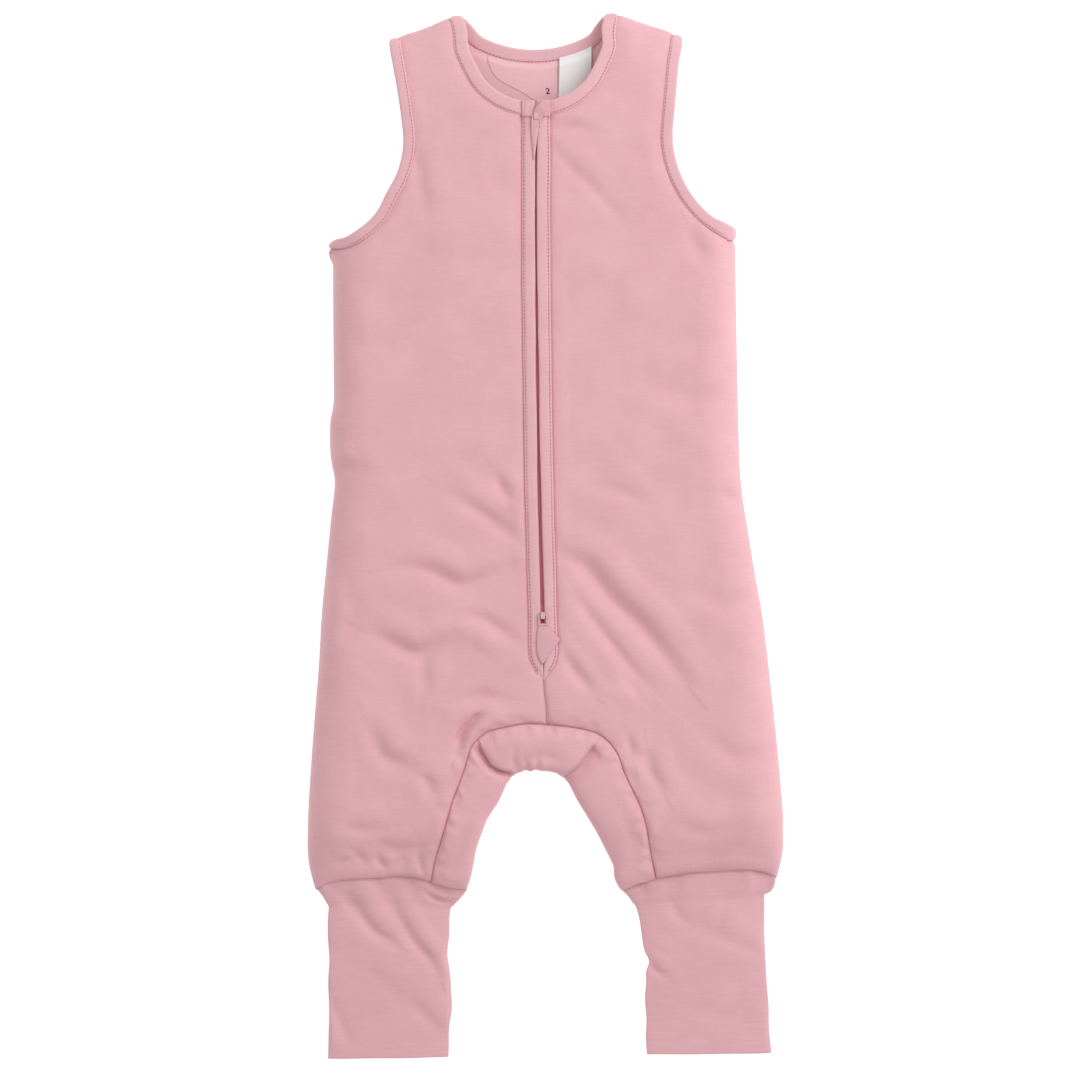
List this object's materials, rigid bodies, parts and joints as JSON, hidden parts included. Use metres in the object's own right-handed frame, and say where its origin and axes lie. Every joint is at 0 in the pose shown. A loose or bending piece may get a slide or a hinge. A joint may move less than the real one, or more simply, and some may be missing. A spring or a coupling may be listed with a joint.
{
  "type": "baby sleeping bag with legs",
  "caption": "Padded sleeveless baby sleep suit with legs, a two-way front zip and long fold-up cuffs, lying flat on its back.",
  "frame": {"origin": "under the middle of the bounding box, on the surface that carries the suit", "axes": "+Y to the neck, +Z out of the front, +X to the wearer's left"},
  "size_m": [0.3594, 0.785, 0.0372],
  "materials": {
    "shell_cloth": "soft brushed cotton jersey",
    "lining_cloth": "smooth cotton jersey",
    "wadding": "lofted polyester wadding",
    "cuff_cloth": "plain cotton jersey",
    "binding_cloth": "jersey binding with topstitching",
    "pull_ribbon": "folded woven ribbon",
    "zip_tape": "woven polyester tape",
    "zip_coil": "nylon monofilament coil",
    "zip_stops": "moulded stop",
    "slider_metal": "enamelled die-cast metal",
    "label": "white satin label"
  },
  "bodies": {
    "garment": {"armhole_binding_left": "binding_cloth", "armhole_binding_right": "binding_cloth", "back_lining": "lining_cloth", "back_neck_facing": "lining_cloth", "back_outer": "shell_cloth", "back_wadding": "wadding", "front_lining_left": "lining_cloth", "front_lining_right": "lining_cloth", "front_outer_left": "shell_cloth", "front_outer_right": "shell_cloth", "front_wadding_left": "wadding", "front_wadding_right": "wadding", "gusset_lining": "lining_cloth", "gusset_outer": "shell_cloth", "gusset_wadding": "wadding", "neck_binding": "binding_cloth", "neck_label": "label", "zip_bottom_stop": "zip_stops", "zip_coil_left": "zip_coil", "zip_coil_right": "zip_coil", "zip_guard": "lining_cloth", "zip_strip_left": "binding_cloth", "zip_strip_right": "binding_cloth", "zip_tape_left": "zip_tape", "zip_tape_right": "zip_tape", "zip_top_stops": "zip_stops"},
    "upper_slider": {"upper_slider": "slider_metal"},
    "upper_pull": {"upper_pull_eye": "slider_metal", "upper_pull_ribbon": "pull_ribbon"},
    "lower_slider": {"lower_slider": "slider_metal"},
    "lower_pull": {"lower_pull_eye": "slider_metal", "lower_pull_ribbon": "pull_ribbon"},
    "left_cuff": {"cuff_outer_left": "cuff_cloth", "cuff_inner_left": "cuff_cloth"},
    "right_cuff": {"cuff_outer_right": "cuff_cloth", "cuff_inner_right": "cuff_cloth"}
  },
  "joints": [
    {"name": "upper_slider_travel", "type": "slide", "parent": "garment", "child": "upper_slider", "axis": [0, -1, 0], "range_m": [0, 0.29]},
    {"name": "upper_pull_hinge", "type": "hinge", "parent": "upper_slider", "child": "upper_pull", "pos_m": [0, 0.3152, 0.0358], "axis": [-1, 0, 0], "range_deg": [0, 170]},
    {"name": "lower_slider_travel", "type": "slide", "parent": "garment", "child": "lower_slider", "axis": [0, 1, 0], "range_m": [-0.022, 0.06]},
    {"name": "lower_pull_hinge", "type": "hinge", "parent": "lower_slider", "child": "lower_pull", "pos_m": [0, -0.0585, 0.0358], "axis": [-1, 0, 0], "range_deg": [0, 170]},
    {"name": "left_cuff_fold", "type": "hinge", "parent": "garment", "child": "left_cuff", "pos_m": [0.118, -0.2645, 0.0204], "axis": [-1, 0, 0], "range_deg": [0, 145]},
    {"name": "right_cuff_fold", "type": "hinge", "parent": "garment", "child": "right_cuff", "pos_m": [-0.118, -0.2645, 0.0204], "axis": [-1, 0, 0], "range_deg": [0, 145]}
  ]
}
